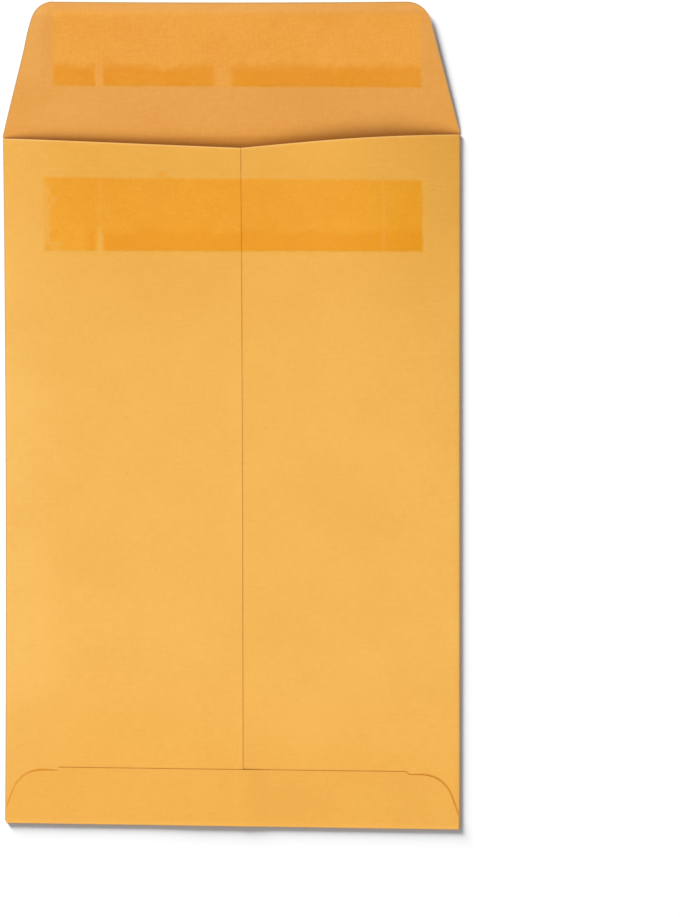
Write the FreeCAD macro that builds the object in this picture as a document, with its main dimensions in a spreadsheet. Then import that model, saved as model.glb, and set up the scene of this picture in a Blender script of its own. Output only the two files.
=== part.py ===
"""Open-end paper envelope, lying on its front panel with the flap open.

X runs across the envelope, Y from the bottom fold to the flap, Z up. The origin is on the
surface it lies on, under the middle of its length and width. Lengths are in millimetres.
"""
import FreeCAD, Part
import os

import Sketcher

Vector = FreeCAD.Vector
document = FreeCAD.newDocument("paper_envelope")

# The driving sizes. The angles flap_lift and flap_lean are in degrees
SIZES = [
    # the closed body and the paper
    ("envelope_width", 152.4),
    ("body_length", 228.6),
    ("paper_thickness", 0.15),
    ("lay_gap", 0.5),
    # the mouth, where the back panels stand off the front panel
    ("mouth_gape", 7.5),
    ("gape_length", 135.0),
    ("throat_depth", 4.0),
    ("throat_sag", 0.55),
    # the centre seam, measured to the right of the middle
    ("seam_edge", 4.0),
    ("seam_overlap", 13.0),
    # the bottom flap, glued up over the back panels
    ("bottom_flap_height", 19.0),
    ("shoulder_height", 3.0),
    ("shoulder_rise", 9.4),
    ("shoulder_run", 3.4),
    ("shoulder_round", 12.0),
    ("shoulder_bulge", 1.6),
    ("seam_drape", 1.0),
    # the top flap, folded back open
    ("flap_length", 44.5),
    ("flap_lift", 6.0),
    ("flap_lean", 14.6),
    ("flap_corner_radius", 7.3),
    # the gum strips
    ("film_thickness", 0.12),
    ("flap_strip_left_margin", 17.3),
    ("flap_strip_right_margin", 12.8),
    ("flap_strip_tip_margin", 3.7),
    ("flap_strip_height", 24.4),
    ("body_strip_left_margin", 14.5),
    ("body_strip_right_margin", 12.2),
    ("body_strip_start", 14.1),
    ("body_strip_height", 23.8),
    ("break_width", 1.3),
    ("left_break_place", 18.1),
    ("left_break_height", 8.0),
    ("right_break_place", 13.5),
    ("right_break_height", 21.5),
]

sheet = document.addObject("Spreadsheet::Sheet", "Sizes")
for row, (alias, value) in enumerate(SIZES, start=1):
    sheet.set(f"A{row}", alias)
    sheet.set(f"B{row}", str(value))
    sheet.setAlias(f"B{row}", alias)
document.recompute()

# Places worked out from the driving sizes, as text for the sketches' expressions
HALF_WIDTH = "Sizes.envelope_width / 2"
PAPER = "Sizes.paper_thickness"
GAP = "Sizes.lay_gap"
FILM = "Sizes.film_thickness"
SEAM = "Sizes.seam_edge"
BOTTOM = "-(Sizes.body_length + Sizes.flap_length) / 2"
CREASE = "(Sizes.body_length - Sizes.flap_length) / 2"
TIP = "(Sizes.body_length + Sizes.flap_length) / 2"
LEFT_TOP = f"(3 * {PAPER} + {GAP})"
RIGHT_TOP = f"(2 * {PAPER} + {GAP})"
LEFT_BEND = f"({LEFT_TOP} / 2)"
RIGHT_BEND = f"({RIGHT_TOP} / 2)"
LEFT_SIDE = f"(-{HALF_WIDTH} + {LEFT_BEND})"
RIGHT_SIDE = f"({HALF_WIDTH} - {RIGHT_BEND})"
HIDDEN_EDGE = f"({SEAM} - Sizes.seam_overlap)"
FLAP_RADIUS = "(Sizes.flap_length / sin(Sizes.flap_lift))"
LEFT_REACH = f"(-{LEFT_SIDE})"
RIGHT_REACH = RIGHT_SIDE

# How far joined features run into each other, and cutting outlines past the paper
OVERLAP = 1.0
BEYOND = 5.0


TOUCHING = 1e-6


class Outline:
    """A closed run of straight and round edges in a sketch, tied to the sizes."""

    # A sketch numbers the points of an edge in this order
    POINTS = ("whole edge", "start", "end", "middle")

    def __init__(self, sketch):
        self.sketch = sketch
        self.corners = []
        self.edges = []

    def end_of(self, edge, point):
        """An edge's number and the number of one of its points, as a constraint wants them."""
        return (edge, self.POINTS.index(point))

    def value(self, text):
        return float(self.sketch.evalExpression(str(text)))

    def go(self, across, up, round_x=None, round_y=None, inward=False):
        """Add a corner. The edge that leaves it is round about a middle at round_x or round_y."""
        self.corners.append((str(across), str(up)))
        self.edges.append((round_x, round_y, inward))

    def arc(self, start, end, round_x, round_y, inward):
        """The arc whose middle is as far from both ends, and known in x or in y.

        A half circle bulges to the right of its run, or to the left if it is inward.
        """
        half = (start + end) / 2
        run = end - start
        if round_x is not None:
            x = self.value(round_x)
            middle = Vector(x, half.y - run.x * (x - half.x) / run.y, 0)
        else:
            y = self.value(round_y)
            middle = Vector(half.x - run.y * (y - half.y) / run.x, y, 0)
        towards = half - middle
        if towards.Length < TOUCHING:
            towards = Vector(run.y, -run.x, 0)
        if inward:
            towards = -towards
        crown = middle + towards.normalize() * (start - middle).Length
        return Part.Arc(start, crown, end)

    def close(self):
        """Draw the edges, and tie each corner and middle to its expression."""
        points = [Vector(self.value(x), self.value(y), 0) for x, y in self.corners]
        count = len(points)
        first = len(self.sketch.Geometry)
        begins = []
        for number in range(count):
            start = points[number]
            end = points[(number + 1) % count]
            round_x, round_y, inward = self.edges[number]
            if round_x is None and round_y is None:
                self.sketch.addGeometry(Part.LineSegment(start, end))
            else:
                self.sketch.addGeometry(self.arc(start, end, round_x, round_y, inward))
            here = self.sketch.getPoint(*self.end_of(first + number, "start"))
            begins.append("start" if (here - start).Length < TOUCHING else "end")
        for number in range(count):
            edge = first + number
            following = (number + 1) % count
            leaves = "start" if begins[number] == "end" else "end"
            here = self.end_of(edge, leaves)
            there = self.end_of(first + following, begins[following])
            self.sketch.addConstraint(Sketcher.Constraint("Coincident", *here, *there))
            x, y = self.corners[number]
            self.place("DistanceX", edge, begins[number], x)
            self.place("DistanceY", edge, begins[number], y)
            round_x, round_y, inward = self.edges[number]
            if round_x is not None:
                self.place("DistanceX", edge, "middle", round_x)
            elif round_y is not None:
                self.place("DistanceY", edge, "middle", round_y)

    def place(self, kind, edge, point, text):
        """Hold a point of an edge at a distance from the sketch's origin, the start of its X axis."""
        origin = self.end_of(-1, "start")
        held = Sketcher.Constraint(kind, *origin, *self.end_of(edge, point), self.value(text))
        number = self.sketch.addConstraint(held)
        self.sketch.setExpression(f"Constraints[{number}]", str(text))


def new_body(label):
    """A body for one piece, named as its node."""
    body = document.addObject("PartDesign::Body", label)
    body.Label = label
    return body


def new_sketch(body, name, role, offset):
    """A sketch parallel to one of the body's origin planes, moved along that plane's normal."""
    plane = [item for item in body.Origin.OriginFeatures if item.Role == role][0]
    sketch = body.newObject("Sketcher::SketchObject", name)
    sketch.AttachmentSupport = [(plane, "")]
    sketch.MapMode = "FlatFace"
    sketch.setExpression(".AttachmentOffset.Base.z", str(offset))
    document.recompute()
    return sketch


def rise(share):
    """How far the back stands off at a share of the gape's length down from the crease."""
    return f"(Sizes.mouth_gape * {(1 - share) ** 2})"


def station(share):
    """The place along Y of that section, as the offset of a sketch whose normal is -Y."""
    return f"-({CREASE} - Sizes.gape_length * {share})"


def arch_middle(level, reach, height):
    """The height of the middle of the arc that rises by height over a half span of reach."""
    return f"({level} + {height} - ({reach} ^ 2 + {height} ^ 2) / (2 * {height}))"


def arch_height(level, reach, height, across):
    """The height of that arc at a place across it."""
    radius = f"(({reach} ^ 2 + {height} ^ 2) / (2 * {height}))"
    return f"({arch_middle(level, reach, height)} + sqrt({radius} ^ 2 - ({across}) ^ 2))"


def back_height(level, reach, height, across):
    """The back's height across a section, which is level where it has no rise."""
    if height is None:
        return level
    return arch_height(level, reach, height, across)


def back_middle(level, reach, height):
    """The middle of the back's arc, or none where it is level."""
    if height is None:
        return None
    return arch_middle(level, reach, height)


def outer_section(sketch, height):
    """The outside of the body: flat front, rounded side folds and the stepped back."""
    outline = Outline(sketch)
    outline.go(LEFT_SIDE, 0)
    outline.go(RIGHT_SIDE, 0, round_x=RIGHT_SIDE)
    outline.go(RIGHT_SIDE, RIGHT_TOP, round_y=back_middle(RIGHT_TOP, RIGHT_REACH, height))
    outline.go(SEAM, back_height(RIGHT_TOP, RIGHT_REACH, height, SEAM))
    outline.go(
        SEAM,
        back_height(LEFT_TOP, LEFT_REACH, height, SEAM),
        round_y=back_middle(LEFT_TOP, LEFT_REACH, height),
    )
    outline.go(LEFT_SIDE, LEFT_TOP, round_x=LEFT_SIDE)
    outline.close()


def inner_section(sketch, height):
    """The inside of the body, one paper thickness in, with its step at the hidden edge."""
    left = f"({LEFT_TOP} - {PAPER})"
    right = f"({RIGHT_TOP} - {PAPER})"
    outline = Outline(sketch)
    outline.go(LEFT_SIDE, PAPER)
    outline.go(RIGHT_SIDE, PAPER, round_x=RIGHT_SIDE)
    outline.go(RIGHT_SIDE, right, round_y=back_middle(right, RIGHT_REACH, height))
    outline.go(HIDDEN_EDGE, back_height(right, RIGHT_REACH, height, HIDDEN_EDGE))
    outline.go(
        HIDDEN_EDGE,
        back_height(left, LEFT_REACH, height, HIDDEN_EDGE),
        round_y=back_middle(left, LEFT_REACH, height),
    )
    outline.go(LEFT_SIDE, left, round_x=LEFT_SIDE)
    outline.close()


def film_section(sketch, height):
    """A film that lies on the back from side to side and runs over the seam's step."""
    step = f"({SEAM} + {FILM})"
    left_up = f"({LEFT_TOP} + {FILM})"
    right_up = f"({RIGHT_TOP} + {FILM})"
    outline = Outline(sketch)
    outline.go(LEFT_SIDE, LEFT_TOP, round_y=back_middle(LEFT_TOP, LEFT_REACH, height))
    outline.go(SEAM, back_height(LEFT_TOP, LEFT_REACH, height, SEAM))
    outline.go(
        SEAM,
        back_height(RIGHT_TOP, RIGHT_REACH, height, SEAM),
        round_y=back_middle(RIGHT_TOP, RIGHT_REACH, height),
    )
    outline.go(RIGHT_SIDE, RIGHT_TOP)
    outline.go(RIGHT_SIDE, right_up, round_y=back_middle(right_up, RIGHT_REACH, height))
    outline.go(step, back_height(right_up, RIGHT_REACH, height, step))
    outline.go(
        step,
        back_height(left_up, LEFT_REACH, height, step),
        round_y=back_middle(left_up, LEFT_REACH, height),
    )
    outline.go(LEFT_SIDE, left_up)
    outline.close()


def loft(body, kind, name, draw, sections):
    """A ruled loft through sections of the body, each a sketch at its place along Y."""
    sketches = []
    for number, (offset, height) in enumerate(sections):
        sketch = new_sketch(body, f"{name}_{number}", "XZ_Plane", offset)
        draw(sketch, height)
        sketches.append(sketch)
    document.recompute()
    feature = body.newObject(kind, name)
    feature.Profile = sketches[0]
    feature.Sections = sketches[1:]
    feature.Ruled = True
    document.recompute()


def pad(body, name, sketch, length, symmetric=False):
    """Extrude a sketch along its normal, or to both sides of it."""
    feature = body.newObject("PartDesign::Pad", name)
    feature.Profile = sketch
    if symmetric:
        feature.SideType = "Symmetric"
    feature.setExpression("Length", str(length))
    document.recompute()


def cut_upwards(body, name, sketch, depth):
    """Remove what stands over a horizontal sketch, and check that something went."""
    before = body.Shape.Volume
    feature = body.newObject("PartDesign::Pocket", name)
    feature.Profile = sketch
    feature.Reversed = True
    feature.setExpression("Length", str(depth))
    document.recompute()
    if feature.Shape.Volume > before - TOUCHING:
        raise RuntimeError(f"{name} cuts nothing")


# The folded sheet: front panel, side folds, back panels, bottom flap and top flap
folded_sheet = new_body("folded_sheet")
FOLD_OUTER = f"((4 * {PAPER} + {GAP}) / 2)"
FOLD_LINE = f"({BOTTOM} + {FOLD_OUTER})"
GAPING = [(station(share), rise(share)) for share in (2 / 3, 1 / 3, 0)]
RUN = [(f"-{FOLD_LINE}", None), (station(1), None), *GAPING]
loft(folded_sheet, "PartDesign::AdditiveLoft", "tube_outside", outer_section, RUN)
loft(folded_sheet, "PartDesign::SubtractiveLoft", "pocket_inside", inner_section, RUN)

# The throat: the back panels' top edges dip to the seam, and the right one is hollowed
throat = new_sketch(folded_sheet, "throat_outline", "XY_Plane", PAPER)
dip = f"({CREASE} - Sizes.throat_depth)"
chord = f"sqrt(({HALF_WIDTH} - {SEAM}) ^ 2 + Sizes.throat_depth ^ 2)"
hollow = f"(({chord} ^ 2 / 4 + Sizes.throat_sag ^ 2) / (2 * Sizes.throat_sag))"
lean = f"atan(Sizes.throat_depth / ({HALF_WIDTH} - {SEAM}))"
hollow_middle = f"(({dip} + {CREASE}) / 2 + ({hollow} - Sizes.throat_sag) * cos({lean}))"
outline = Outline(throat)
outline.go(f"-{HALF_WIDTH}", CREASE)
outline.go(SEAM, dip, round_y=hollow_middle)
outline.go(HALF_WIDTH, CREASE)
outline.go(HALF_WIDTH, f"{CREASE} + {BEYOND}")
outline.go(f"-{HALF_WIDTH}", f"{CREASE} + {BEYOND}")
outline.close()
cut_upwards(folded_sheet, "throat_cut", throat, f"Sizes.mouth_gape + {BEYOND}")


def bottom_hook(name, height, left, right):
    """The bottom fold and the flap that it carries up over a back of the given height."""
    sketch = new_sketch(folded_sheet, f"{name}_profile", "YZ_Plane", left)
    outside = f"({height} + {PAPER})"
    turn = f"({BOTTOM} + {outside} / 2)"
    root = f"({FOLD_LINE} + {OVERLAP})"
    edge = f"({BOTTOM} + Sizes.bottom_flap_height)"
    outline = Outline(sketch)
    outline.go(root, 0)
    outline.go(root, PAPER)
    outline.go(turn, PAPER, round_x=turn, inward=True)
    outline.go(turn, height)
    outline.go(edge, height)
    outline.go(edge, outside)
    outline.go(turn, outside, round_x=turn)
    outline.go(turn, 0)
    outline.close()
    pad(folded_sheet, name, sketch, f"{right} - ({left})")


bottom_hook("bottom_flap_left", LEFT_TOP, LEFT_SIDE, f"({SEAM} + Sizes.seam_drape)")
bottom_hook("bottom_flap_right", RIGHT_TOP, SEAM, RIGHT_SIDE)


def shoulder_cut(name, side, level):
    """Take the corner off the bottom flap: a slanted side, then a round shoulder."""
    low = f"({BOTTOM} + Sizes.shoulder_height)"
    knee = f"({low} + Sizes.shoulder_rise)"
    top = f"({BOTTOM} + Sizes.bottom_flap_height)"
    out = f"({side} * {HALF_WIDTH})"
    knee_in = f"({side} * ({HALF_WIDTH} - Sizes.shoulder_run))"
    top_in = f"({side} * ({HALF_WIDTH} - Sizes.shoulder_run - Sizes.shoulder_round))"
    run = "Sizes.shoulder_round"
    climb = "(Sizes.bottom_flap_height - Sizes.shoulder_height - Sizes.shoulder_rise)"
    length = f"sqrt({run} ^ 2 + {climb} ^ 2)"
    radius = f"(({length} ^ 2 / 4 + Sizes.shoulder_bulge ^ 2) / (2 * Sizes.shoulder_bulge))"
    middle = f"(({knee} + {top}) / 2 - ({radius} - Sizes.shoulder_bulge) * {run} / {length})"
    sketch = new_sketch(folded_sheet, f"{name}_outline", "XY_Plane", level)
    outline = Outline(sketch)
    outline.go(out, low)
    outline.go(knee_in, knee, round_y=middle)
    outline.go(top_in, top)
    outline.go(top_in, f"{top} + {BEYOND}")
    outline.go(out, f"{top} + {BEYOND}")
    outline.close()
    cut_upwards(folded_sheet, name, sketch, BEYOND)


shoulder_cut("left_shoulder", -1, LEFT_TOP)
shoulder_cut("right_shoulder", 1, RIGHT_TOP)

# The top flap: an arc that leaves the crease at the lift angle and levels out at its tip
flap_profile = new_sketch(folded_sheet, "top_flap_profile", "YZ_Plane", 0)
fall = f"({FLAP_RADIUS} * cos(Sizes.flap_lift))"
tip_height = f"({FLAP_RADIUS} - {fall})"
outline = Outline(flap_profile)
outline.go(f"{CREASE} - {OVERLAP}", 0)
outline.go(CREASE, 0, round_y=f"-{fall}")
outline.go(TIP, tip_height)
outline.go(TIP, f"{tip_height} + {PAPER}", round_y=f"{PAPER} - {fall}")
outline.go(CREASE, PAPER)
outline.go(f"{CREASE} - {OVERLAP}", PAPER)
outline.close()
pad(folded_sheet, "top_flap", flap_profile, f"{LEFT_REACH} * 2", symmetric=True)

# The flap's outline: sides that lean in, and rounded corners
corner = "Sizes.flap_corner_radius"
inset = "Sizes.flap_length * tan(Sizes.flap_lean)"
turn_y = f"({TIP} - {corner})"
turn_x = f"({HALF_WIDTH} - ({inset}) - {corner} * (1 - sin(Sizes.flap_lean)) / cos(Sizes.flap_lean))"
side_x = f"({turn_x} + {corner} * cos(Sizes.flap_lean))"
side_y = f"({turn_y} + {corner} * sin(Sizes.flap_lean))"
frame_x = f"({HALF_WIDTH} + {BEYOND})"
flap_outline = new_sketch(folded_sheet, "top_flap_outline", "XY_Plane", f"-{BEYOND}")
outline = Outline(flap_outline)
outline.go(HALF_WIDTH, CREASE)
outline.go(side_x, side_y, round_x=turn_x)
outline.go(turn_x, TIP)
outline.go(f"-{turn_x}", TIP, round_x=f"-{turn_x}")
outline.go(f"-{side_x}", side_y)
outline.go(f"-{HALF_WIDTH}", CREASE)
outline.go(f"-{frame_x}", CREASE)
outline.go(f"-{frame_x}", f"{TIP} + {BEYOND}")
outline.go(frame_x, f"{TIP} + {BEYOND}")
outline.go(frame_x, CREASE)
outline.close()
cut_upwards(folded_sheet, "top_flap_trim", flap_outline, f"{tip_height} + 3 * {BEYOND}")

# The gum strip on the flap's inner face
flap_strip = new_body("flap_adhesive_strip")
strip_left = f"(-{HALF_WIDTH} + Sizes.flap_strip_left_margin)"
strip_right = f"({HALF_WIDTH} - Sizes.flap_strip_right_margin)"
strip_profile = new_sketch(flap_strip, "flap_strip_profile", "YZ_Plane", strip_left)


def flap_height(along):
    """The height of the flap's inner face at a distance from the crease."""
    lifted = f"({FLAP_RADIUS} * sin(Sizes.flap_lift) - ({along}))"
    return f"({PAPER} - {fall} + sqrt({FLAP_RADIUS} ^ 2 - {lifted} ^ 2))"


far = "(Sizes.flap_length - Sizes.flap_strip_tip_margin)"
near = f"({far} - Sizes.flap_strip_height)"
outline = Outline(strip_profile)
outline.go(f"{CREASE} + {near}", flap_height(near), round_y=f"{PAPER} - {fall}")
outline.go(f"{CREASE} + {far}", flap_height(far))
outline.go(f"{CREASE} + {far}", f"{flap_height(far)} + {FILM}", round_y=f"{PAPER} - {fall} + {FILM}")
outline.go(f"{CREASE} + {near}", f"{flap_height(near)} + {FILM}")
outline.close()
pad(flap_strip, "flap_film", strip_profile, f"{strip_right} - {strip_left}")

# The gum strip across the back, on both panels and over the seam's step
body_strip = new_body("body_adhesive_strip")
loft(body_strip, "PartDesign::AdditiveLoft", "body_film", film_section, RUN)

# Its outline: a rectangle with two cracks that run up from its lower edge
strip_left = f"(-{HALF_WIDTH} + Sizes.body_strip_left_margin)"
strip_right = f"({HALF_WIDTH} - Sizes.body_strip_right_margin)"
strip_top = f"({CREASE} - Sizes.body_strip_start)"
strip_low = f"({strip_top} - Sizes.body_strip_height)"
body_outline = new_sketch(body_strip, "body_strip_outline", "XY_Plane", f"-{BEYOND}")
frame_top = f"({CREASE} + {BEYOND})"
frame_low = f"({BOTTOM} - {BEYOND})"
outline = Outline(body_outline)
outline.go(f"-{frame_x}", frame_low)
outline.go(frame_x, frame_low)
outline.go(frame_x, frame_top)
outline.go(f"-{frame_x}", frame_top)
outline.close()
outline = Outline(body_outline)
outline.go(strip_left, strip_low)
for edge, sign, height in (
    (strip_left, "+ Sizes.left_break_place", "Sizes.left_break_height"),
    (strip_right, "- Sizes.right_break_place", "Sizes.right_break_height"),
):
    for share in (-0.5, 0.5):
        wall = f"({edge} {sign} + {share} * Sizes.break_width)"
        ends = [strip_low, f"({strip_low} + {height})"]
        for level in ends if share < 0 else ends[::-1]:
            outline.go(wall, level)
outline.go(strip_right, strip_low)
outline.go(strip_right, strip_top)
outline.go(strip_left, strip_top)
outline.close()
cut_upwards(body_strip, "body_strip_trim", body_outline, f"Sizes.mouth_gape + 3 * {BEYOND}")

# Every feature is sound before anything is written
document.recompute()
for item in document.Objects:
    if "Invalid" in item.State or "Error" in item.State:
        raise RuntimeError(f"{item.Name} is {item.State}")
os.makedirs("parts", exist_ok=True)
for node in (folded_sheet, flap_strip, body_strip):
    if node.Shape.isNull() or not node.Shape.isValid():
        raise RuntimeError(f"{node.Label} has no valid shape")
    node.Shape.exportStep(f"parts/{node.Label}.step")
    print(node.Label, len(node.Shape.Solids), round(node.Shape.Volume, 3), node.Shape.BoundBox)
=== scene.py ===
"""The looks of an open-end kraft envelope that lies back side up with its flap open.

The sheet is cut flat, as its maker cuts it, and then folded. A point of the flat sheet is
(along, up): along runs round the side folds, up runs from the bottom flap to the top flap.
Lengths are in metres.
"""

import bisect
import math

import bmesh
import bpy
from mathutils import Matrix, Vector, noise


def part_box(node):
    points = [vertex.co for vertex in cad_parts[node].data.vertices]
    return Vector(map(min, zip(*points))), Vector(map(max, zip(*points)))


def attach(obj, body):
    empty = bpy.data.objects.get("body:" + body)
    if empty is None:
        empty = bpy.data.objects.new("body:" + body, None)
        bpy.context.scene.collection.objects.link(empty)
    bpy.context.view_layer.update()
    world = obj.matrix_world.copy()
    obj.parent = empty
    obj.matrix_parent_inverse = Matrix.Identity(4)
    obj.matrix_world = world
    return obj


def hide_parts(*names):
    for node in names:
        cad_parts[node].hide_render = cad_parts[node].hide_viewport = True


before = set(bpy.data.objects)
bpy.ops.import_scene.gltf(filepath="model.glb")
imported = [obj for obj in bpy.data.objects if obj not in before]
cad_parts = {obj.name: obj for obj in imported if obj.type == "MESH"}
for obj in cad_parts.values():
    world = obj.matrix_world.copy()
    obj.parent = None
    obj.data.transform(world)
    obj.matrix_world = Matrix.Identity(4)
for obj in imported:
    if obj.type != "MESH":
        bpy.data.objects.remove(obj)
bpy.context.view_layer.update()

MM = 0.001

# The envelope's lines, from the frame
sheet_low, sheet_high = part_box("folded_sheet")
HALF_WIDTH = sheet_high.x
BOTTOM = sheet_low.y
TIP = sheet_high.y
FLAP_LENGTH = 44.5 * MM
CREASE = TIP - FLAP_LENGTH

# The paper and its folds
PAPER = 0.15 * MM
SIDE_BEND = 0.42 * MM
SIDE_TURN = math.pi * SIDE_BEND
FLAT_HALF = HALF_WIDTH - SIDE_BEND - PAPER / 2
SHEET_LEVEL = PAPER / 2
BACK_LEVEL = SHEET_LEVEL + 2 * SIDE_BEND
LAYER = 1.15 * PAPER

# The mouth, where the back stands off the front, most of all on its right
MOUTH_GAPE = 2.7 * MM
RIGHT_GAPE = 3.2 * MM
RIGHT_GAPE_PLACE = 44 * MM
RIGHT_GAPE_WIDTH = 24 * MM
GAPE_LENGTH = 135 * MM
GAPE_LIMIT = 1.2
ARCH_SQUARENESS = 8
FLAT_END = 60 * MM
THROAT_DEPTH = 4.0 * MM
THROAT_SAG = 0.55 * MM
LIP_WIDTH = 0.45 * MM
LIP_RISE = 0.12 * MM

# The centre seam, where the left panel's free edge lies on the right panel, and the paper's waves
SEAM_EDGE = 4.0 * MM
HIDDEN_EDGE = -9.0 * MM
LAP_START = HIDDEN_EDGE - 20 * MM
SEAM_LIFT = 0.12 * MM
SEAM_LIFT_WIDTH = 4 * MM
WAVES = 0.15 * MM
WAVE_SIZE = 45 * MM

# The bottom flap
BOTTOM_BEND = (BACK_LEVEL + LAYER - SHEET_LEVEL) / 2
BOTTOM_TURN = math.pi * BOTTOM_BEND
BOTTOM_START = BOTTOM + BOTTOM_BEND + PAPER / 2
BOTTOM_FLAP = 19.0 * MM
SHOULDER_HEIGHT = 3.0 * MM
SHOULDER_RISE = 9.4 * MM
SHOULDER_RUN = 3.4 * MM
SHOULDER_ROUND = 12.0 * MM
SHOULDER_FULLNESS = 3.4
NOTCH_PLACE = -58.3 * MM
NOTCH_DEPTH = 1.0 * MM
BOTTOM_EDGE_LIFT = 0.12 * MM
BOTTOM_LIFT_WIDTH = 5 * MM
DRAPE_WIDTH = 10 * MM

# The shade under the bottom flap's edge, wider on the shoulders
GAP_SHADE = 0.16 * MM
SHOULDER_SHADE = 0.50 * MM
SHOULDER_SHADE_FULL = 65 * MM

# The top flap
FLAP_SLOPE = math.tan(math.radians(9))
FLAP_SETTLES = 6 * MM
FLAP_CURL = 0.015
FLAP_LEAN = math.radians(14.6)
FLAP_LEFT_FOOT = 76.5 * MM
FLAP_RIGHT_FOOT = 76.3 * MM
FLAP_WIDENS = 0.3 * MM
FLAP_LEFT_CORNER = 7.5 * MM
FLAP_RIGHT_CORNER = 8.2 * MM
FLAP_CORNER_PLACE = 62 * MM
FLAP_MIDDLE = 44.0 * MM
FLAP_SKEW = 0.0135
FLAP_HOLLOW = 0.08
FLAP_BULGE = 0.5 * MM
FLAP_BULGE_PLACE = 35.5 * MM
FLAP_BULGE_LENGTH = 4.5 * MM

# How wide the painted shade along the flap's cut edge is, and which shares of the folds get painted
# shade
EDGE_SHADE_WIDTH = 0.4 * MM
SIDE_FOLD_SHADE = (1 / 3, 1)
BOTTOM_FOLD_SHADE = (1 / 2, 5 / 6)

# How the left side bows, in millimetres: at its middle, its lean and its curve
SIDE_BOW = (0.43, 0.15, -0.57)

# The gum films, which thin out to an edge and have room to fray round their strips
FILM = 0.05 * MM
FILM_EDGE = 0.012 * MM
FILM_SLOPE = 1.5 * MM
FILM_INSET = 0.4 * MM
FRAY = 3 * MM

# The strips: their ends across, their edges up from the crease, how steeply both edges fall to
# the right (skew), and how much more steeply the upper one does (taper)
FLAP_STRIP = {"left": -58.9 * MM, "right": 63.4 * MM, "low": 16.4 * MM, "high": 40.8 * MM,
              "skew": 0.0150, "taper": 0.007}
BODY_STRIP = {"left": -61.7 * MM, "right": 64.0 * MM, "low": -37.9 * MM, "high": -14.1 * MM,
              "skew": 0.0070, "taper": 0.009}

# The grid that is cut and folded: its step, its least gap, the spare paper above the flap, how
# finely it follows folds and curves, and how far a cut beside a fold stays off it
GRID = 1.6 * MM
LEAST_GAP = 0.05 * MM
SPARE = 1.5 * MM
FOLD_STEPS = 6
CURVE_STEPS = 10
FOLD_CLEARANCE = 0.2 * MM
SHARP_ANGLE = math.radians(50)


def smooth_step(low, high, value):
    """0 at low, 1 at high, and an S curve between them."""
    share = min(max((value - low) / (high - low), 0.0), 1.0)
    return share * share * (3 - 2 * share)


def wander(x, y, size, seed=0.0):
    """A smooth random height between about -1 and 1, with waves of the given size."""
    return noise.noise(Vector((x / size, y / size, seed)))


# Heights of the folded sheet's middle

def back_rise(x, y):
    """How far the back stands off its lowest level: an arch that grows towards the mouth."""
    share = min(max(1 - (CREASE - y) / GAPE_LENGTH, 0.0), GAPE_LIMIT)
    arch = max(1 - (x / FLAT_HALF) ** ARCH_SQUARENESS, 0.0)
    bulge = math.exp(-((x - RIGHT_GAPE_PLACE) / RIGHT_GAPE_WIDTH) ** 2)
    opened = (MOUTH_GAPE + RIGHT_GAPE * bulge) * arch * share ** 2
    risen = smooth_step(BOTTOM, BOTTOM + FLAT_END, y)
    waves = WAVES * (0.5 + 0.5 * wander(x, y, WAVE_SIZE, 3.0)) * arch * risen
    return opened + waves


def left_lap(x):
    """How far the left panel rides up to lie on the right one."""
    lifted = SEAM_LIFT * smooth_step(SEAM_EDGE - SEAM_LIFT_WIDTH, SEAM_EDGE, x)
    return LAYER * smooth_step(LAP_START, HIDDEN_EDGE, x) + lifted


def back_top(x, y):
    """The middle of the topmost layer of the back."""
    lap = left_lap(x) if x <= SEAM_EDGE + 1e-6 else 0.0
    return BACK_LEVEL + back_rise(x, y) + lap


def flap_rise(out):
    """The top flap's height at a distance out from the crease."""
    settled = FLAP_SLOPE * FLAP_SETTLES * (1 - math.exp(-out / FLAP_SETTLES))
    return settled + FLAP_CURL * out ** 2 / (2 * FLAP_LENGTH)


def fold_panel(along, up):
    """Front panel, side fold or back panel."""
    reach = abs(along)
    side = math.copysign(1.0, along)
    if reach <= FLAT_HALF:
        return Vector((along, up, SHEET_LEVEL))
    if reach <= FLAT_HALF + SIDE_TURN:
        turn = (reach - FLAT_HALF) / SIDE_BEND
        x = side * (FLAT_HALF + SIDE_BEND * math.sin(turn))
        return Vector((x, up, SHEET_LEVEL + SIDE_BEND * (1 - math.cos(turn))))
    x = side * (2 * FLAT_HALF + SIDE_TURN - reach)
    lap = left_lap(x) if side < 0 else 0.0
    lip = LIP_RISE * smooth_step(LIP_WIDTH, 0, CREASE - throat_drop(x, side) - up)
    return Vector((x, up, BACK_LEVEL + back_rise(x, up) + lap + lip))


def fold_bottom(along, up):
    """The bottom fold and the flap glued up over the back."""
    past = BOTTOM_START - up
    drape = left_lap(min(along, SEAM_EDGE))
    drape *= 1 - smooth_step(SEAM_EDGE, SEAM_EDGE + DRAPE_WIDTH, along)
    bend = BOTTOM_BEND + drape / 2
    if past <= BOTTOM_TURN:
        turn = past / BOTTOM_BEND
        y = BOTTOM_START - BOTTOM_BEND * math.sin(turn)
        return Vector((along, y, SHEET_LEVEL + bend * (1 - math.cos(turn))))
    y = BOTTOM_START + past - BOTTOM_TURN
    edge = smooth_step(BOTTOM_FLAP - BOTTOM_LIFT_WIDTH, BOTTOM_FLAP, y - BOTTOM)
    level = BACK_LEVEL + LAYER + back_rise(along, y)
    return Vector((along, y, level + drape + BOTTOM_EDGE_LIFT * edge))


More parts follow.
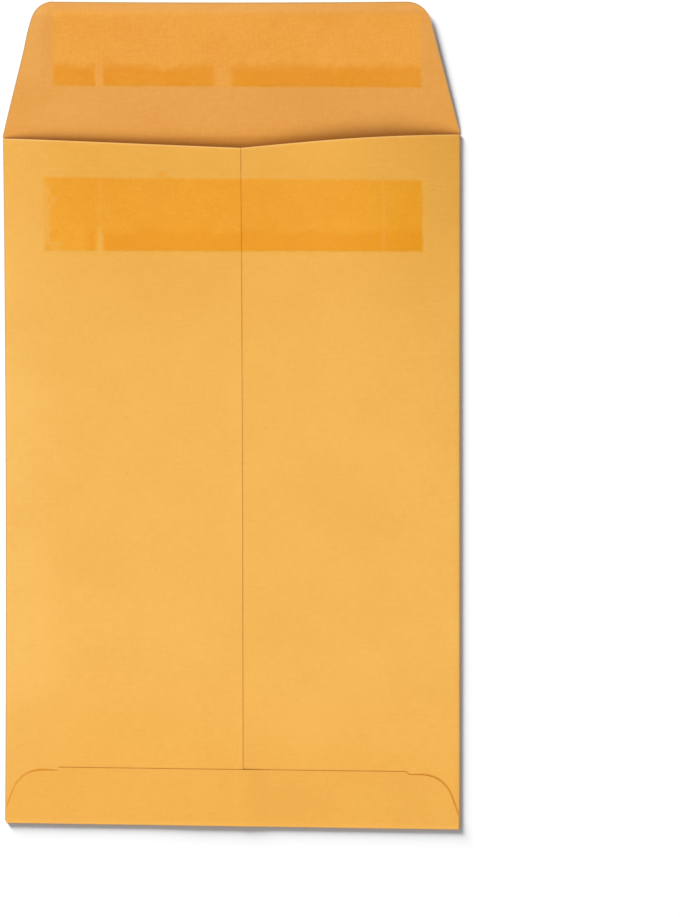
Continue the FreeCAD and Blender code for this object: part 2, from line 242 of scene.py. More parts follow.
def fold(along, up):
    """Where a point of the flat sheet lies once the envelope is folded."""
    if up > CREASE:
        out = up - CREASE
        spread = 1 + (flap_foot(along) / FLAT_HALF - 1) * smooth_step(0, FLAP_WIDENS, out)
        place = Vector((along * spread, up, SHEET_LEVEL + flap_rise(out)))
        bulge = math.exp(-((out - FLAP_BULGE_PLACE) / FLAP_BULGE_LENGTH) ** 2)
        place.x -= FLAP_BULGE * bulge * max(-along / FLAT_HALF, 0) ** 4
    elif up < BOTTOM_START:
        place = fold_bottom(along, up)
    else:
        place = fold_panel(along, up)
    place.x += side_bow(place.x, place.y)
    return place


def side_bow(x, y):
    """How far the left side's fold strays from straight."""
    share = 2 * (y - BOTTOM) / (CREASE - BOTTOM) - 1
    share = min(share, 1.0)
    middle, lean, curve = SIDE_BOW
    return max(-x / HALF_WIDTH, 0.0) ** 2 * (middle + lean * share + curve * share ** 2) * MM


# Outlines of the flat sheet

def flap_foot(x):
    """How far to the side the top flap starts at the crease."""
    return FLAP_LEFT_FOOT if x < 0 else FLAP_RIGHT_FOOT


def flap_length(x):
    """How far out the flap's edge is before its corners are rounded."""
    return FLAP_MIDDLE - FLAP_SKEW * x + FLAP_HOLLOW * x ** 2


def corner_radius(x):
    """How round the flap's left or right corner is."""
    return FLAP_LEFT_CORNER if x < 0 else FLAP_RIGHT_CORNER


def flap_corner(side):
    """Where a corner's rounding starts and ends, and how far out its middle is."""
    length = flap_length(side * FLAP_CORNER_PLACE)
    radius = corner_radius(side)
    start = flap_foot(side) - length * math.tan(FLAP_LEAN)
    start -= radius * (1 - math.sin(FLAP_LEAN)) / math.cos(FLAP_LEAN)
    return start, start + radius * math.cos(FLAP_LEAN), length - radius


def flap_outline(along):
    """How far out the top flap's edge is, at a place across."""
    x = along * flap_foot(along) / FLAT_HALF
    start, end, middle = flap_corner(math.copysign(1, x))
    reach = abs(x)
    if reach <= start:
        return flap_length(x)
    if reach <= end:
        return middle + math.sqrt(corner_radius(x) ** 2 - (reach - start) ** 2)
    return max(flap_foot(x) - reach, 0) / math.tan(FLAP_LEAN)


def bottom_outline(x):
    """How high the bottom flap reaches over the back, at a place across."""
    inward = HALF_WIDTH - abs(x)
    knee = SHOULDER_HEIGHT + SHOULDER_RISE
    if inward <= SHOULDER_RUN:
        return SHOULDER_HEIGHT + SHOULDER_RISE * inward / SHOULDER_RUN
    if NOTCH_PLACE < x < -NOTCH_PLACE:
        return BOTTOM_FLAP
    share = min((inward - SHOULDER_RUN) / SHOULDER_ROUND, 1.0)
    return knee + (BOTTOM_FLAP - NOTCH_DEPTH - knee) * (1 - (1 - share) ** SHOULDER_FULLNESS)


def steepness(outline, x):
    """How much further up than outwards a line beside an outline is moved, up to a limit."""
    near = 0.1 * MM
    steepest = 15
    slope = (outline(x + near) - outline(x - near)) / (2 * near)
    return math.sqrt(1 + min(slope ** 2, steepest))


def gap_line(along, width):
    """A line on the back panels a little outside the bottom flap's edge, or inside it, bounding its
    painted shade.
    """
    if abs(along) <= FLAT_HALF + SIDE_TURN / 2:
        return None
    x = math.copysign(1, along) * min(2 * FLAT_HALF + SIDE_TURN - abs(along), HALF_WIDTH)
    if abs(x) > -NOTCH_PLACE:
        wider = SHOULDER_SHADE * smooth_step(-NOTCH_PLACE, SHOULDER_SHADE_FULL, abs(x))
        width += math.copysign(wider, width)
    return BOTTOM + bottom_outline(x) + width * steepness(bottom_outline, x)


def throat_drop(x, side):
    """How far below the crease the left or right back panel's top edge is."""
    if side < 0:
        return THROAT_DEPTH * (x + HALF_WIDTH) / (SEAM_EDGE + HALF_WIDTH)
    share = (HALF_WIDTH - x) / (HALF_WIDTH - SEAM_EDGE)
    if share > 1:
        return THROAT_DEPTH
    return THROAT_DEPTH * share - 4 * THROAT_SAG * share * (1 - share)


def sheet_top(along):
    """The flat sheet's upper outline."""
    if abs(along) <= FLAT_HALF:
        return CREASE + flap_outline(along)
    if abs(along) <= FLAT_HALF + SIDE_TURN:
        return CREASE
    side = math.copysign(1, along)
    return CREASE - throat_drop(side * (2 * FLAT_HALF + SIDE_TURN - abs(along)), side)


def lip_line(along):
    """Where the throat's lip, with its painted highlight, begins on the back panels, and nothing
    elsewhere.
    """
    if abs(along) <= FLAT_HALF + SIDE_TURN:
        return None
    return sheet_top(along) - LIP_WIDTH


def edge_shade_line(along):
    """The inner border of the painted edge shade on the top flap, and nothing elsewhere."""
    if abs(along) > FLAT_HALF - FOLD_CLEARANCE:
        return None
    return CREASE + flap_outline(along) - EDGE_SHADE_WIDTH * steepness(flap_outline, along)


def sheet_foot(along):
    """The flat sheet's lower outline."""
    if abs(along) < FLAT_HALF:
        return BOTTOM_START - BOTTOM_TURN - (bottom_outline(along) - (BOTTOM_START - BOTTOM))
    return BOTTOM_START + FOLD_CLEARANCE


# Cutting and folding

def grid_lines(low, high, step, fixed):
    """Places from low to high about a step apart, with some fixed ones among them."""
    fixed = sorted({low, high} | {place for place in fixed if low < place < high})
    places = [fixed[0]]
    for place in fixed[1:]:
        gap = place - places[-1]
        if gap < LEAST_GAP:
            continue
        parts = max(round(gap / step), 1)
        begin = places[-1]
        places += [begin + gap * part / parts for part in range(1, parts + 1)]
    return places


def flat_paper(columns, rows):
    """A flat grid with its lines at the given places."""
    bm = bmesh.new()
    across = len(columns) - 1
    tall = len(rows) - 1
    bmesh.ops.create_grid(bm, x_segments=across, y_segments=tall, size=0.5)
    for vertex in bm.verts:
        vertex.co.x = columns[round((vertex.co.x + 0.5) * across)]
        vertex.co.y = rows[round((vertex.co.y + 0.5) * tall)]
    return bm


def whole(faces):
    """Faces with their edges and corners, as the cutting operator wants them."""
    edges = {edge for face in faces for edge in face.edges}
    corners = {corner for face in faces for corner in face.verts}
    return faces + list(edges) + list(corners)


def score(bm, columns, rows, outline):
    """Cut the paper along an outline, column by column, and tell each face's side of it."""
    reach = 2 * max(b - a for a, b in zip(rows, rows[1:]))
    in_column = [[] for column in columns]
    for face in bm.faces:
        middle = face.calc_center_median()
        in_column[bisect.bisect(columns, middle.x) - 1].append((middle.y, face))
    above = []
    below = []
    for number, faces in enumerate(in_column[:-1]):
        left = columns[number]
        right = columns[number + 1]
        inset = (right - left) * 1e-3
        heights = (outline(left + inset), outline(right - inset))
        if None in heights:
            continue
        start = Vector((left, heights[0], 0))
        normal = Vector((heights[0] - heights[1], right - left, 0)).normalized()
        low = min(heights) - reach
        high = max(heights) + reach
        crossed = [face for middle, face in faces if low < middle < high]
        cut = bmesh.ops.bisect_plane(
            bm, geom=whole(crossed), dist=1e-7, plane_co=start, plane_no=normal
        )
        pieces = [item for item in cut["geom"] if isinstance(item, bmesh.types.BMFace)]
        pieces += [face for middle, face in faces if not low < middle < high]
        for face in pieces:
            side = above if (face.calc_center_median() - start).dot(normal) > 0 else below
            side.append(face)
    return above, below


def finish_sheet(bm, name, placed, thickness, finishes, on_sheet=None):
    """Keep the flat place as a UV map, fold the paper, and give it its thickness.

    For a film, on_sheet tells the flat sheet's place from the film's own.
    """
    bmesh.ops.remove_doubles(bm, verts=bm.verts, dist=1e-7)
    flat = bm.loops.layers.uv.new("flat")
    strip = bm.loops.layers.uv.new("strip") if on_sheet else None
    for face in bm.faces:
        face.smooth = True
        middle = face.calc_center_median()
        for loop in face.loops:
            loop[flat].uv = loop.vert.co.xy
            if on_sheet:
                loop[strip].uv = loop.vert.co.xy
                loop[flat].uv = on_sheet(loop.vert.co.x, loop.vert.co.y, middle.x)
    for vertex in bm.verts:
        vertex.co = placed(vertex.co.x, vertex.co.y)
    mesh = bpy.data.meshes.new(name)
    bm.to_mesh(mesh)
    bm.free()
    shell = bpy.data.objects.new(name, mesh)
    bpy.context.scene.collection.objects.link(shell)
    for finish in finishes:
        mesh.materials.append(finish)
    thicken = shell.modifiers.new("thickness", "SOLIDIFY")
    thicken.thickness = thickness
    thicken.offset = 0
    thicken.use_rim = True
    thicken.material_offset = 1
    thicken.material_offset_rim = 2
    thick = shell.evaluated_get(bpy.context.evaluated_depsgraph_get())
    solid = bpy.data.meshes.new_from_object(thick)
    solid.name = name
    shell.modifiers.clear()
    shell.data = solid
    bpy.data.meshes.remove(mesh)
    solid.set_sharp_from_angle(angle=SHARP_ANGLE)
    return shell


# Finishes

def written(red, green, blue):
    """A colour as it looks on a screen, 0 to 255, as the linear colour of a shader."""
    def linear(level):
        level /= 255
        return level / 12.92 if level <= 0.04045 else ((level + 0.055) / 1.055) ** 2.4
    return (linear(red), linear(green), linear(blue), 1.0)


class Reading:
    """A socket that counts as a number in an expression."""

    def __init__(self, finish, socket):
        self.finish = finish
        self.socket = socket

    def worked(self, operation, *numbers):
        return self.finish.add(
            "ShaderNodeMath", {"operation": operation}, dict(enumerate(numbers))
        )

    def __add__(self, other):
        return self.worked("ADD", self, other)

    def __radd__(self, other):
        return self.worked("ADD", other, self)

    def __sub__(self, other):
        return self.worked("SUBTRACT", self, other)

    def __rsub__(self, other):
        return self.worked("SUBTRACT", other, self)

    def __mul__(self, other):
        return self.worked("MULTIPLY", self, other)

    def __rmul__(self, other):
        return self.worked("MULTIPLY", other, self)

    def __abs__(self):
        return self.worked("ABSOLUTE", self)


class Finish:
    """A material, made node by node."""

    def __init__(self, name, roughness, specular=0.3):
        self.material = bpy.data.materials.new(name)
        self.material.use_nodes = True
        self.tree = self.material.node_tree
        self.shader = self.tree.nodes["Principled BSDF"]
        self.shader.inputs["Roughness"].default_value = roughness
        self.shader.inputs["Specular IOR Level"].default_value = specular

    def add(self, kind, settings=None, sockets=None, out=0):
        """A node of one kind, its settings, and the values or links of its sockets."""
        node = self.tree.nodes.new(kind)
        for key, value in (settings or {}).items():
            setattr(node, key, value)
        for key, value in (sockets or {}).items():
            if isinstance(value, Reading):
                self.tree.links.new(value.socket, node.inputs[key])
            else:
                node.inputs[key].default_value = value
        return Reading(self, node.outputs[out])

    def feed(self, socket, reading):
        self.tree.links.new(reading.socket, self.shader.inputs[socket])

    def cloud(self, x, y, detail=2.0, rough=0.5, shift=0.0):
        """Noise on the flat sheet whose waves are 1 / x and 1 / y long, from 0 to 1."""
        place = self.add("ShaderNodeUVMap", {"uv_map": "flat"})
        scaled = self.add("ShaderNodeVectorMath", {"operation": "MULTIPLY"}, {0: place, 1: (x, y, 1)})
        away = (shift, shift, shift)
        moved = self.add("ShaderNodeVectorMath", {"operation": "ADD"}, {0: scaled, 1: away})
        return self.add(
            "ShaderNodeTexNoise",
            {"noise_dimensions": "3D"},
            {"Vector": moved, "Scale": 1.0, "Detail": detail, "Roughness": rough},
        )

    def ramp(self, reading, low, high):
        """0 where the reading is low, 1 where it is high, with a soft change between."""
        return self.add(
            "ShaderNodeMapRange",
            {"interpolation_type": "SMOOTHSTEP"},
            {"Value": reading, "From Min": low, "From Max": high},
        )

    def mix(self, share, first, second):
        """A colour between two others."""
        return self.add(
            "ShaderNodeMix", {"data_type": "RGBA"}, {0: share, 6: first, 7: second}, out=2
        )

    def multiplied(self, first, second):
        """A colour tinted by another."""
        return self.add(
            "ShaderNodeMix", {"data_type": "RGBA", "blend_type": "MULTIPLY"},
            {0: 1.0, 6: first, 7: second}, out=2,
        )

    def bump(self, height, distance, strength=1.0):
        self.feed("Normal", self.add(
            "ShaderNodeBump", None, {"Height": height, "Distance": distance, "Strength": strength}
        ))


PLAIN = (1, 1, 1, 1)
PAPER_ROUGHNESS = 0.72

# Painted highlight: the back is paler along its left fold, where the light falls, apart from its low
# end
LIT_FOLD_WIDTH = 28 * MM
LIT_FOLD_LOW_END = (-120 * MM, -75 * MM)
LIT_FOLD_HIGHLIGHT = (1.015, 1.05, 1.22, 1)
LIT_FOLD_LOW_HIGHLIGHT = (0.965, 0.985, 1.03, 1)


class Kraft(Finish):
    """Kraft paper: cloudy pulp, fibres along and across, faint flecks, and painted light and shade.
    """

    def __init__(self, name, light, dark, painted_shading=()):
        super().__init__(name, PAPER_ROUGHNESS, specular=0.25)
        self.fibre = self.cloud(1500, 260, detail=2.0, rough=0.6, shift=4.0)
        self.weave = self.cloud(300, 1100, detail=2.0, rough=0.5, shift=9.0)
        self.pulp = self.cloud(30, 36, detail=3.0, rough=0.6)
        tone = self.pulp * 0.42 + self.fibre * 0.30 + self.weave * 0.28
        self.colour = self.mix(self.ramp(tone, 0.32, 0.66), dark, light)
        speck = self.cloud(700, 600, detail=1.0, rough=0.4, shift=21.0)
        fleck = self.mix(0.35, dark, written(170, 100, 40))
        self.colour = self.mix(self.ramp(speck, 0.72, 0.82) * 0.4, self.colour, fleck)
        flat = self.add("ShaderNodeUVMap", {"uv_map": "flat"})
        along = self.add("ShaderNodeSeparateXYZ", None, {0: flat})
        up = self.add("ShaderNodeSeparateXYZ", None, {0: flat}, out=1)
        # A painted highlight along the back's left fold
        fold_line = -FLAT_HALF - SIDE_TURN
        lit_fold = self.ramp(along, fold_line - LIT_FOLD_WIDTH, fold_line)
        lit_fold *= 1 - self.ramp(along, fold_line, -FLAT_HALF)
        lit_fold_tint = self.mix(self.ramp(up, *LIT_FOLD_LOW_END), LIT_FOLD_LOW_HIGHLIGHT, LIT_FOLD_HIGHLIGHT)
        self.colour = self.multiplied(self.colour, self.mix(lit_fold, PLAIN, lit_fold_tint))
        # Painted light and shade, where each is given
        for across, upward, tone in painted_shading:
            amount = self.ramp(up, *upward)
            if across:
                amount *= self.ramp(along, *across)
            self.colour = self.multiplied(self.colour, self.mix(amount, PLAIN, tone))

    def finished(self):
        self.feed("Base Color", self.colour)
        self.bump(self.fibre * 0.5 + self.weave * 0.5, 0.03 * MM)
        return self.material


def cut_edge():
    """The sheet's cut edge, paler than its faces."""
    finish = Finish("paper_edge", roughness=0.8, specular=0.2)
    fibre = finish.cloud(900, 900, detail=2.0)
    finish.feed("Base Color", finish.mix(fibre, written(236, 186, 108), written(250, 212, 140)))
    return finish.material


# Tints over the gum: along the ridge at its foot, and in its pores
RIDGE_TINT = (0.960, 0.995, 0.92, 1)
PORE_TINT = (0.985, 0.965, 0.90, 1)


class Gum(Kraft):
    """Dried gum: an amber stain over the paper with ragged edges, grain, a band and cracks."""

    def __init__(self, name, strip, paper, roughness):
        super().__init__(name, *paper)
        self.sheen = roughness
        self.strip = strip
        own = self.add("ShaderNodeUVMap", {"uv_map": "strip"})
        self.x = self.add("ShaderNodeSeparateXYZ", None, {0: own})
        self.y = self.add("ShaderNodeSeparateXYZ", None, {0: own}, out=1) + self.x * strip["skew"]
        self.top = self.y + self.x * strip["taper"]
        self.patch = self.cloud(70, 60, detail=3.0, rough=0.65, shift=2.0)
        self.grain = self.cloud(1300, 1100, detail=2.0, rough=0.65, shift=6.0)
        self.fray = self.cloud(300, 300, detail=4.0, rough=0.7, shift=11.0)
        self.speckle = self.cloud(2600, 2600, detail=1.0, rough=0.5, shift=15.0)
        self.blotch = self.cloud(260, 200, detail=3.0, rough=0.6, shift=18.0)
        self.shown = None
        self.tint = None

    def tints(self, thin, full, deep, low, high, gaps):
        """How the gum tints the paper: thin or full in patches, and deep in its band."""
        tone = self.patch * 0.34 + self.blotch * 0.22 + self.grain * 0.44
        tone = self.ramp(tone, 0.36, 0.64)
        marks = self.cloud(800, 500, detail=3.0, rough=0.65, shift=27.0)
        ragged = self.y + (self.fray - 0.5) * (3.0 * MM) + (self.blotch - 0.5) * (2.6 * MM)
        ragged += (self.patch - 0.5) * (5.0 * MM)
        band = 1 - self.ramp(ragged, high - 2.0 * MM, high + 2.0 * MM)
        for place, width in gaps:
            wobbly = self.x + (self.fray - 0.5) * (2.4 * MM)
            band *= self.ramp(abs(wobbly - place), width * 0.4, width)
        worn = self.ramp(self.patch * 0.4 + marks * 0.3 + self.grain * 0.3, 0.36, 0.60)
        self.tint = self.mix(band * (0.62 + worn * 0.38), self.mix(tone, full, thin), deep)
        foot = self.y + (self.fray - 0.5) * (0.8 * MM)
        ridge = 1 - self.ramp(foot, low + 0.5 * MM, low + 1.5 * MM)
        self.tint = self.multiplied(self.tint, self.mix(ridge, PLAIN, RIDGE_TINT))
        pores = self.ramp(self.grain * 0.5 + self.speckle * 0.5, 0.40, 0.62)
        self.tint = self.multiplied(self.tint, self.mix(pores, PORE_TINT, PLAIN))

    def edges(self, left, right, low, high):
        """Fade the gum out at each side, in millimetres: how ragged and how soft it ends."""
        sides = (
            (self.x, self.strip["left"], 1, left),
            (self.x, self.strip["right"], -1, right),
            (self.y, CREASE + self.strip["low"], 1, low),
            (self.top, CREASE + self.strip["high"], -1, high),
        )
        for reading, place, way, (ragged, soft) in sides:
            inward = (reading - place) * way + (self.fray - 0.5) * (ragged * MM)
            inward += (self.speckle - 0.5) * (soft * MM)
            side = self.ramp(inward, -soft * MM / 2, soft * MM / 2)
            self.shown = side if self.shown is None else self.shown * side

    def crack(self, place, width, low, high, strength):
        """A place where the gum has pulled apart, upright, from low to high."""
        wobbly = self.x + (self.fray - 0.5) * (1.2 * MM)
        gap = 1 - self.ramp(abs(wobbly - place), width * 0.2, width * 0.8)
        gap *= self.ramp(self.y, low - 0.4 * MM, low + 0.4 * MM)
        gap *= 1 - self.ramp(self.y, high - 0.4 * MM, high + 0.4 * MM)
        self.shown = self.shown * (1 - gap * strength)

    def scuffs(self, x, y, width, height, strength):
        """Thin pale flakes about a place, where the gum has lifted off the paper."""
        near = 1 - self.ramp(abs(self.x - x), 0, width)
        near *= 1 - self.ramp(abs(self.y - y), height * 0.6, height)
        flakes = self.ramp(self.fray * 0.6 + self.speckle * 0.4, 0.47, 0.55)
        self.shown = self.shown * (1 - near * flakes * strength)

    def blot(self, x, y, radius, strength):
        """A small drop of gum beside the strip."""
        far = abs(self.x - x) * 0.7 + abs(self.y - y) + (self.fray - 0.5) * (2.0 * MM)
        drop = (1 - self.ramp(far, radius * 0.4, radius)) * strength
        self.shown = self.shown + drop * (1 - self.shown)

    def finished(self):
        stained = self.multiplied(self.colour, self.tint)
        self.feed("Base Color", self.mix(self.shown, self.colour, stained))
        self.feed("Roughness", PAPER_ROUGHNESS - self.shown * (PAPER_ROUGHNESS - self.sheen))
        paper = self.fibre * 0.5 + self.weave * 0.5
        self.bump(paper * (1 - self.shown * 0.5) + self.grain * self.shown * 0.7, 0.03 * MM)
        return self.material


# Two tones of each face, and where and how painted light and shade tint the paper, across and upwards
OUTSIDE_PAPER = (
    written(249, 188, 88), written(243, 180, 80),
    (
        # Painted shade: darker towards the mouth
        (None, (0, 92 * MM), (0.940, 0.880, 0.71, 1)),
        # Painted shade: darker towards the bottom
        (None, (-78 * MM, -118 * MM), (0.982, 0.942, 0.86, 1)),
        # Painted shade: darker again over the bottom fold and flap
        (None, (BOTTOM_START, BOTTOM - 3 * MM), (0.974, 0.960, 0.92, 1)),
    ),
)
INSIDE_PAPER = (
    written(239, 169, 80), written(233, 159, 69),
    (
        # Painted shade: darker towards the crease and inside the pocket
        (None, (CREASE + 6 * MM, CREASE), (0.982, 0.958, 0.90, 1)),
        # Painted shade: a sharp step darker just below the crease, inside the pocket
        (None, (CREASE + 0.3 * MM, CREASE - 0.3 * MM), (0.958, 0.903, 0.77, 1)),
        # Painted highlight: paler along the flap's top margin
        (None, (CREASE + 39.5 * MM, CREASE + 41.5 * MM), (1.06, 1.10, 1.27, 1)),
        # Painted highlight: paler on the flap's upper left
        ((-60 * MM, -64 * MM), (CREASE + 14 * MM, CREASE + 30 * MM), (1.03, 1.08, 1.22, 1)),
    ),
)
# Painted shade under the bottom flap's edge
PAINTED_GAP_SHADE_PAPER = (written(238, 162, 53), written(228, 150, 43))
# Painted shade along the flap's cut edge and on the outer parts of the folds
PAINTED_EDGE_SHADE_PAPER = (written(216, 168, 106), written(205, 156, 93))
# A painted highlight on the throat's lip
LIP_HIGHLIGHT_PAPER = (written(248, 190, 106), written(242, 181, 93))


def flap_gum():
    gum = Gum("flap_gum", FLAP_STRIP, INSIDE_PAPER, roughness=0.55)
    gum.tints(
        (1.11, 1.08, 0.83, 1), (1.07, 0.99, 0.57, 1), (1.01, 0.82, 0.08, 1),
        CREASE + FLAP_STRIP["low"], CREASE + 23.0 * MM,
        ((-43.5 * MM, 2.0 * MM), (-2.2 * MM, 4.2 * MM)),
    )
    gum.edges((1.6, 2.2), (1.6, 1.6), (1.0, 0.8), (1.5, 2.0))
    low = CREASE + FLAP_STRIP["low"] - 1 * MM
    high = CREASE + 23.5 * MM
    gum.crack(-43.5 * MM, 2.2 * MM, low, high, 0.35)
    gum.crack(-2.6 * MM, 4.0 * MM, low, high, 0.25)
    return gum.finished()


def body_gum():
    gum = Gum("body_gum", BODY_STRIP, OUTSIDE_PAPER, roughness=0.5)
    gum.tints(
        (1.035, 0.89, 0.24, 1), (1.005, 0.81, 0.10, 1), (0.99, 0.745, 0.01, 1),
        CREASE + BODY_STRIP["low"], CREASE - 31.4 * MM,
        ((-53.0 * MM, 8.0 * MM), (-43.3 * MM, 2.4 * MM)),
    )
    gum.edges((1.8, 1.6), (1.4, 0.8), (1.0, 1.0), (1.4, 1.2))
    low = CREASE + BODY_STRIP["low"]
    high = CREASE + BODY_STRIP["high"]
    gum.crack(-43.1 * MM, 1.6 * MM, low - 1 * MM, low + 6.4 * MM, 0.85)
    gum.crack(-43.2 * MM, 1.2 * MM, low - 1 * MM, low + 8.0 * MM, 0.6)
    gum.crack(-43.0 * MM, 1.2 * MM, low + 7 * MM, high, 0.18)
    gum.crack(51.2 * MM, 1.0 * MM, low - 1 * MM, high, 0.28)
    gum.crack(-60.9 * MM, 0.9 * MM, low + 2 * MM, high - 3 * MM, 0.45)
    gum.scuffs(-60.8 * MM, (low + high) / 2, 2.2 * MM, 13 * MM, 0.9)
    gum.scuffs(-58.0 * MM, low + 1.0 * MM, 5.0 * MM, 2.4 * MM, 0.95)
    gum.scuffs(-59.0 * MM, high - 7.0 * MM, 3.5 * MM, 2.2 * MM, 0.8)
    gum.blot(-22.3 * MM, high + 1.2 * MM, 2.0 * MM, 0.6)
    return gum.finished()


OUTSIDE = Kraft("kraft_outside", *OUTSIDE_PAPER).finished()
INSIDE = Kraft("kraft_inside", *INSIDE_PAPER).finished()
# Painted shade under the bottom flap's edge
PAINTED_GAP_SHADE = Kraft("kraft_painted_gap_shade", *PAINTED_GAP_SHADE_PAPER).finished()
# Painted shade along the flap's cut edge and on the outer parts of the folds
PAINTED_EDGE_SHADE = Kraft("kraft_painted_edge_shade", *PAINTED_EDGE_SHADE_PAPER).finished()
# A painted highlight on the throat's lip
LIP_HIGHLIGHT = Kraft("kraft_lip_highlight", *LIP_HIGHLIGHT_PAPER).finished()
EDGE = cut_edge()
FLAP_GUM = flap_gum()
BODY_GUM = body_gum()


# The sheet's materials, in threes: the inner face's, the outer face's and the cut edge's
SHEET_FINISHES = [
    INSIDE, OUTSIDE, EDGE,
    # the inner face, the painted shade under the bottom flap's edge, and the cut edge
    INSIDE, PAINTED_GAP_SHADE, EDGE,
    # painted edge shade on both faces, and the cut edge
    PAINTED_EDGE_SHADE, PAINTED_EDGE_SHADE, EDGE,
    # the inner face, a painted highlight on the throat's lip, and the cut edge
    INSIDE, LIP_HIGHLIGHT, EDGE,
]
# Painted shade under the bottom flap's edge
PAINTED_GAP_SHADE_THREE = 3
# Painted edge shade
PAINTED_EDGE_SHADE_THREE = 6
# Painted highlight on the throat's lip
LIP_HIGHLIGHT_THREE = 9


def sheet_lines():
    """The flat sheet's grid lines, across and upwards, closer where it bends or curves."""
    folds = range(FOLD_STEPS + 1)
    curves = range(CURVE_STEPS + 1)

    # The side folds and the bottom flap's shoulders, on both sides
    knee = HALF_WIDTH - SHOULDER_RUN
    upright = [FLAT_HALF + SIDE_TURN * step / FOLD_STEPS for step in folds]
    upright += [knee - SHOULDER_ROUND * (step / CURVE_STEPS) ** 1.6 for step in curves]
    upright += [HALF_WIDTH - SHOULDER_RUN * step / 4 for step in range(4)]
    upright += [-place for place in upright]

    # The top flap's corners, at even turns round their arcs
    turns = [math.sin(math.radians(90 * step / CURVE_STEPS)) for step in curves]
    for side in (-1, 1):
        start, end, _ = flap_corner(side)
        narrow = side * FLAT_HALF / flap_foot(side)
        upright += [narrow * (start + (end - start) * turn) for turn in turns]

    # The seam, and the notch in the bottom flap's edge
    upright += [SEAM_EDGE + 0.75 * MM * step for step in range(-4, 5)]
    upright += [NOTCH_PLACE, NOTCH_PLACE + 0.1 * MM]

    # The bottom fold and the crease
    level = [BOTTOM_START - BOTTOM_TURN * step / FOLD_STEPS for step in folds]
    level += [CREASE, CREASE + 0.5 * MM, CREASE + 1 * MM, CREASE + 2 * MM]

    panels = 2 * FLAT_HALF + SIDE_TURN
    foot = BOTTOM_START - BOTTOM_TURN - BOTTOM_FLAP
    columns = grid_lines(-(panels + SEAM_EDGE), panels - HIDDEN_EDGE, GRID, upright)
    rows = grid_lines(foot, CREASE + FLAP_LENGTH + SPARE, GRID, level)
    return columns, rows


def folded_sheet():
    """The whole envelope: one sheet, cut, folded and glued to itself."""
    columns, rows = sheet_lines()
    bm = flat_paper(columns, rows)
    above, _ = score(bm, columns, rows, sheet_top)
    bmesh.ops.delete(bm, geom=above, context="FACES")
    _, below = score(bm, columns, rows, sheet_foot)
    bmesh.ops.delete(bm, geom=below, context="FACES")
    # A painted highlight on the throat's lip
    above, _ = score(bm, columns, rows, lip_line)
    for face in above:
        face.material_index = LIP_HIGHLIGHT_THREE
    # A strip of painted shade along the bottom flap's edge
    score(bm, columns, rows, lambda along: gap_line(along, GAP_SHADE))
    above, _ = score(bm, columns, rows, lambda along: gap_line(along, -GAP_SHADE))
    for face in above:
        middle = face.calc_center_median()
        if middle.y < gap_line(middle.x, GAP_SHADE):
            face.material_index = PAINTED_GAP_SHADE_THREE
    # Painted shade along the flap's cut edge, and on the outer parts of the side and bottom folds
    above, _ = score(bm, columns, rows, edge_shade_line)
    for face in above:
        face.material_index = PAINTED_EDGE_SHADE_THREE
    for face in bm.faces:
        middle = face.calc_center_median()
        turned = (abs(middle.x) - FLAT_HALF) / SIDE_TURN
        turned_up = (BOTTOM_START - middle.y) / BOTTOM_TURN
        if SIDE_FOLD_SHADE[0] < turned < SIDE_FOLD_SHADE[1] or BOTTOM_FOLD_SHADE[0] < turned_up < BOTTOM_FOLD_SHADE[1]:
            face.material_index = PAINTED_EDGE_SHADE_THREE
    sheet = finish_sheet(bm, "envelope_sheet", fold, PAPER, SHEET_FINISHES)
    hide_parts("folded_sheet")
    return sheet


def gum_film(name, strip, height, on_sheet, finish, node, lines, within=None):
    """A thin film on the paper, a little larger than its strip, whose finish frays its edges."""
    columns = grid_lines(strip["left"] - FRAY, strip["right"] + FRAY, GRID, lines)
    rows = grid_lines(CREASE + strip["low"] - FRAY, CREASE + strip["high"] + FRAY, GRID, [])
    bm = flat_paper(columns, rows)
    if within:
        above, _ = score(bm, columns, rows, within)
        bmesh.ops.delete(bm, geom=above, context="FACES")

    def placed(x, y):
        inward = min(x - columns[0], columns[-1] - x, y - rows[0], rows[-1] - y)
        sunk = (FILM - FILM_EDGE) * (1 - smooth_step(0, FILM_SLOPE, inward))
        return Vector((x, y, height(x, y) + PAPER / 2 + FILM / 2 - sunk))

    film = finish_sheet(bm, name, placed, FILM, [finish, finish, finish], on_sheet)
    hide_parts(node)
    return film


def flap_place(x, y, middle):
    """The flap film's place on the flat sheet."""
    return (x * FLAT_HALF / flap_foot(middle), y)


def flap_film_end(x):
    """The flap film stays a little inside the flap's edge."""
    return CREASE + flap_outline(x * FLAT_HALF / flap_foot(x)) - FILM_INSET


def back_place(x, y, middle):
    """The body film's place on the flat sheet, left or right of the seam."""
    if middle < SEAM_EDGE:
        return (-x - 2 * FLAT_HALF - SIDE_TURN, y)
    return (2 * FLAT_HALF + SIDE_TURN - x, y)


# Extra grid lines in the films, at the flap's right corner and at the seam's step
CORNER_LINES = [57 * MM + 0.8 * MM * step for step in range(12)]
SEAM_LINES = [SEAM_EDGE, SEAM_EDGE + 0.06 * MM]

pieces = [
    folded_sheet(),
    gum_film(
        "flap_gum_film", FLAP_STRIP, lambda x, y: SHEET_LEVEL + flap_rise(y - CREASE),
        flap_place, FLAP_GUM, "flap_adhesive_strip", CORNER_LINES, flap_film_end,
    ),
    gum_film(
        "body_gum_film", BODY_STRIP, back_top,
        back_place, BODY_GUM, "body_adhesive_strip", SEAM_LINES,
    ),
]
for piece in pieces:
    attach(piece, "root")


# Floor, light and camera

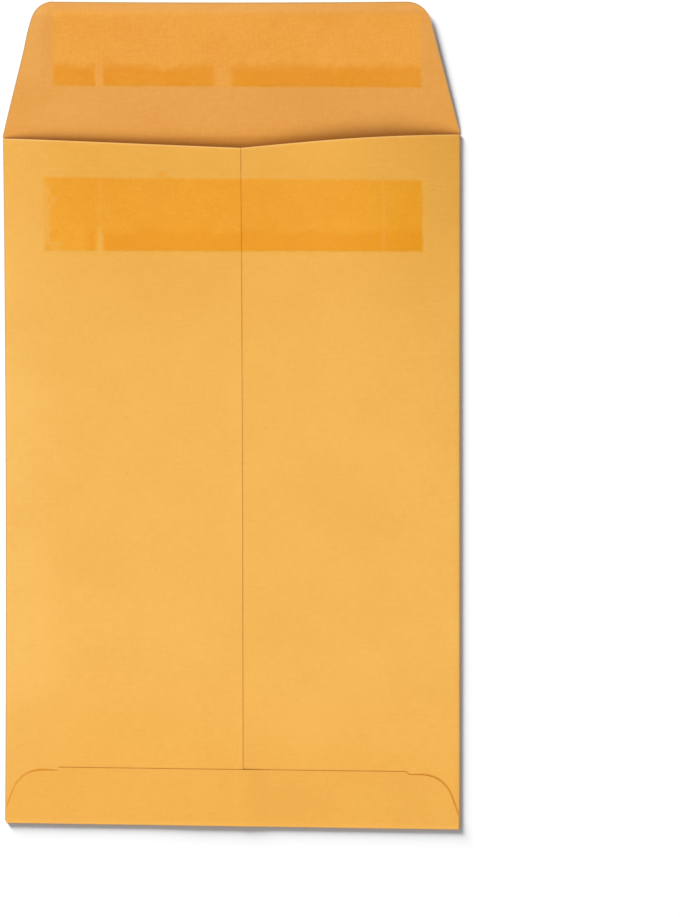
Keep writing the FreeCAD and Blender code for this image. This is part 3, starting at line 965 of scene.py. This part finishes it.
def white_floor():
    """A pale floor that its own lamp lights to white, apart from the shadow."""
    bm = bmesh.new()
    bmesh.ops.create_grid(bm, x_segments=1, y_segments=1, size=2.0)
    mesh = bpy.data.meshes.new("floor")
    bm.to_mesh(mesh)
    bm.free()
    floor = bpy.data.objects.new("floor", mesh)
    bpy.context.scene.collection.objects.link(floor)
    finish = Finish("white_floor", roughness=0.9, specular=0.1)
    finish.shader.inputs["Base Color"].default_value = (0.72, 0.72, 0.73, 1)
    mesh.materials.append(finish.material)
    return floor


def lamp(name, place, size, power, lit):
    """A square soft box, turned towards the envelope, that lights some objects and not others."""
    light = bpy.data.lights.new(name, "AREA")
    light.size = size
    light.energy = power
    holder = bpy.data.objects.new(name, light)
    holder.location = place
    holder.rotation_euler = (-Vector(place)).to_track_quat("-Z", "Y").to_euler()
    bpy.context.scene.collection.objects.link(holder)
    receivers = bpy.data.collections.new(name)
    for item in lit:
        receivers.objects.link(item)
    holder.light_linking.receiver_collection = receivers


def sky(strength):
    """Even light from all round."""
    world = bpy.data.worlds.new("studio")
    world.use_nodes = True
    world.node_tree.nodes["Background"].inputs["Color"].default_value = (1, 1, 1, 1)
    world.node_tree.nodes["Background"].inputs["Strength"].default_value = strength
    bpy.context.scene.world = world


# The camera looks down from a metre, turned a little off upright as the photograph's was
CAMERA_AIM = Vector((36.4 * MM, -14.2 * MM, 0))
CAMERA_DISTANCE = 1.0
CAMERA_PITCH = math.radians(1.73)
CAMERA_YAW = math.radians(-5.96)
CAMERA_ROLL = math.radians(0.065)
CAMERA_LENS = 160.4
SENSOR_WIDTH = 36
NEAREST_SEEN = 0.05


def camera():
    lens = bpy.data.cameras.new("camera")
    lens.sensor_fit = "HORIZONTAL"
    lens.sensor_width = SENSOR_WIDTH
    lens.lens = CAMERA_LENS
    lens.clip_start = NEAREST_SEEN
    eye = bpy.data.objects.new("camera", lens)
    bpy.context.scene.collection.objects.link(eye)
    turn = Matrix.Rotation(CAMERA_ROLL, 3, "Z")
    turn = turn @ Matrix.Rotation(CAMERA_PITCH, 3, "X") @ Matrix.Rotation(CAMERA_YAW, 3, "Y")
    turn.transpose()
    back = turn @ Vector((0, 0, CAMERA_DISTANCE))
    eye.matrix_world = Matrix.Translation(CAMERA_AIM + back) @ turn.to_4x4()
    bpy.context.scene.camera = eye


floor = white_floor()
lamp("key", place=(-0.85, -0.90, 1.75), size=2.0, power=38.7, lit=pieces)
lamp("floor_light", place=(-4.50, 6.00, 2.30), size=3.5, power=2330.0, lit=[floor])
sky(0.43)
camera()
bpy.context.scene.view_settings.view_transform = "Standard"
